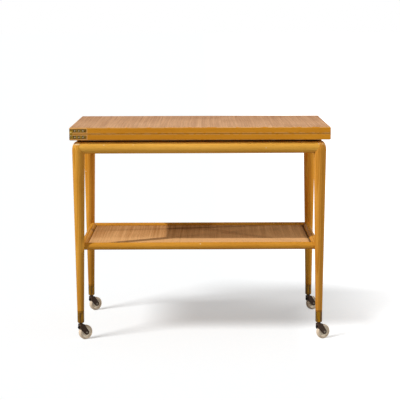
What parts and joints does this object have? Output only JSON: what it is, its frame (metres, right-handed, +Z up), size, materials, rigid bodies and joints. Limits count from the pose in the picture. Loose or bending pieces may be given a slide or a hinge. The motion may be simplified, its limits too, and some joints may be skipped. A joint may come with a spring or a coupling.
{
  "type": "drop leaf tea trolley",
  "caption": "Serving trolley with a sliding, fold-over double-length wooden top, round-railed frame, recessed veneered shelf and swivel castors.",
  "frame": {"origin": "on the floor, midway between the four legs", "axes": "+X right along the top's length, away from the hinged end; +Y towards the back; +Z up"},
  "size_m": [0.804, 0.487, 0.666],
  "materials": {
    "frame_wood": "lacquered golden oak, satin",
    "lipping_wood": "lacquered golden oak, satin",
    "veneer": "warm brown veneer, grain front to back, satin lacquer",
    "core_board": "bare board",
    "guide_wood": "waxed hardwood",
    "hinge_brass": "aged brass",
    "screw_steel": "plain steel",
    "screw_brass": "worn brass",
    "ferrule_brass": "aged brass, brushed",
    "caster_bronze": "dark bronzed steel",
    "caster_steel": "bright steel, slightly worn",
    "bumper_black": "black rubber",
    "wheel_cream": "cream moulded plastic",
    "tyre_beige": "beige rubber"
  },
  "bodies": {
    "frame": {"leg_front_left": "frame_wood", "leg_front_right": "frame_wood", "leg_back_left": "frame_wood", "leg_back_right": "frame_wood", "top_rail_front": "frame_wood", "top_rail_back": "frame_wood", "top_rail_left": "frame_wood", "top_rail_right": "frame_wood", "shelf_rail_front": "frame_wood", "shelf_rail_back": "frame_wood", "shelf_rail_left": "frame_wood", "shelf_rail_right": "frame_wood", "shelf_veneer": "veneer", "shelf_panel": "core_board", "slide_guide_front": "guide_wood", "slide_guide_back": "guide_wood", "guide_screws": "screw_steel", "leg_ferrules": "ferrule_brass"},
    "top_board": {"lower_board_core": "core_board", "lower_board_veneer": "veneer", "lower_board_lipping": "lipping_wood", "runner_front": "guide_wood", "runner_back": "guide_wood", "runner_screws": "screw_steel", "lower_hinge_plate_front": "hinge_brass", "lower_hinge_plate_back": "hinge_brass", "lower_hinge_screws": "screw_brass"},
    "hinge_links": {"hinge_link_front": "hinge_brass", "hinge_link_back": "hinge_brass", "hinge_pins": "hinge_brass"},
    "leaf": {"leaf_core": "core_board", "leaf_veneers": "veneer", "leaf_lipping": "lipping_wood", "leaf_hinge_plate_front": "hinge_brass", "leaf_hinge_plate_back": "hinge_brass", "leaf_hinge_screws": "screw_brass"},
    "caster_fl": {"caster_stem_fl": "caster_steel", "caster_fork_fl": "caster_bronze", "caster_bumper_fl": "bumper_black", "caster_axle_fl": "caster_steel"},
    "wheel_fl": {"wheel_disc_fl": "wheel_cream", "wheel_tyre_fl": "tyre_beige"},
    "caster_fr": {"caster_stem_fr": "caster_steel", "caster_fork_fr": "caster_bronze", "caster_bumper_fr": "bumper_black", "caster_axle_fr": "caster_steel"},
    "wheel_fr": {"wheel_disc_fr": "wheel_cream", "wheel_tyre_fr": "tyre_beige"},
    "caster_bl": {"caster_stem_bl": "caster_steel", "caster_fork_bl": "caster_bronze", "caster_bumper_bl": "bumper_black", "caster_axle_bl": "caster_steel"},
    "wheel_bl": {"wheel_disc_bl": "wheel_cream", "wheel_tyre_bl": "tyre_beige"},
    "caster_br": {"caster_stem_br": "caster_steel", "caster_fork_br": "caster_bronze", "caster_bumper_br": "bumper_black", "caster_axle_br": "caster_steel"},
    "wheel_br": {"wheel_disc_br": "wheel_cream", "wheel_tyre_br": "tyre_beige"}
  },
  "joints": [
    {"name": "top_slide", "type": "slide", "parent": "frame", "child": "top_board", "axis": [1, 0, 0], "range_m": [0, 0.397]},
    {"name": "link_turn", "type": "hinge", "parent": "top_board", "child": "hinge_links", "pos_m": [-0.3922, 0, 0.64085], "axis": [0, -1, 0], "range_deg": [0, 90]},
    {"name": "leaf_turn", "type": "hinge", "parent": "hinge_links", "child": "leaf", "pos_m": [-0.3922, 0, 0.65125], "axis": [0, -1, 0], "range_deg": [0, 90]},
    {"name": "caster_swivel_fl", "type": "hinge", "parent": "frame", "child": "caster_fl", "pos_m": [-0.3715, -0.2198, 0.05], "axis": [0, 0, 1], "continuous": true},
    {"name": "wheel_spin_fl", "type": "hinge", "parent": "caster_fl", "child": "wheel_fl", "pos_m": [-0.35824, -0.21085, 0.0225], "axis": [-0.5592, 0.829, 0], "continuous": true},
    {"name": "caster_swivel_fr", "type": "hinge", "parent": "frame", "child": "caster_fr", "pos_m": [0.3715, -0.2198, 0.05], "axis": [0, 0, 1], "continuous": true},
    {"name": "wheel_spin_fr", "type": "hinge", "parent": "caster_fr", "child": "wheel_fr", "pos_m": [0.38536, -0.2118, 0.0225], "axis": [-0.5, 0.866, 0], "continuous": true},
    {"name": "caster_swivel_bl", "type": "hinge", "parent": "frame", "child": "caster_bl", "pos_m": [-0.3715, 0.2198, 0.05], "axis": [0, 0, 1], "continuous": true},
    {"name": "wheel_spin_bl", "type": "hinge", "parent": "caster_bl", "child": "wheel_bl", "pos_m": [-0.35872, 0.22943, 0.0225], "axis": [-0.6018, 0.7986, 0], "continuous": true},
    {"name": "caster_swivel_br", "type": "hinge", "parent": "frame", "child": "caster_br", "pos_m": [0.3715, 0.2198, 0.05], "axis": [0, 0, 1], "continuous": true},
    {"name": "wheel_spin_br", "type": "hinge", "parent": "caster_br", "child": "wheel_br", "pos_m": [0.38536, 0.2278, 0.0225], "axis": [-0.5, 0.866, 0], "continuous": true}
  ]
}
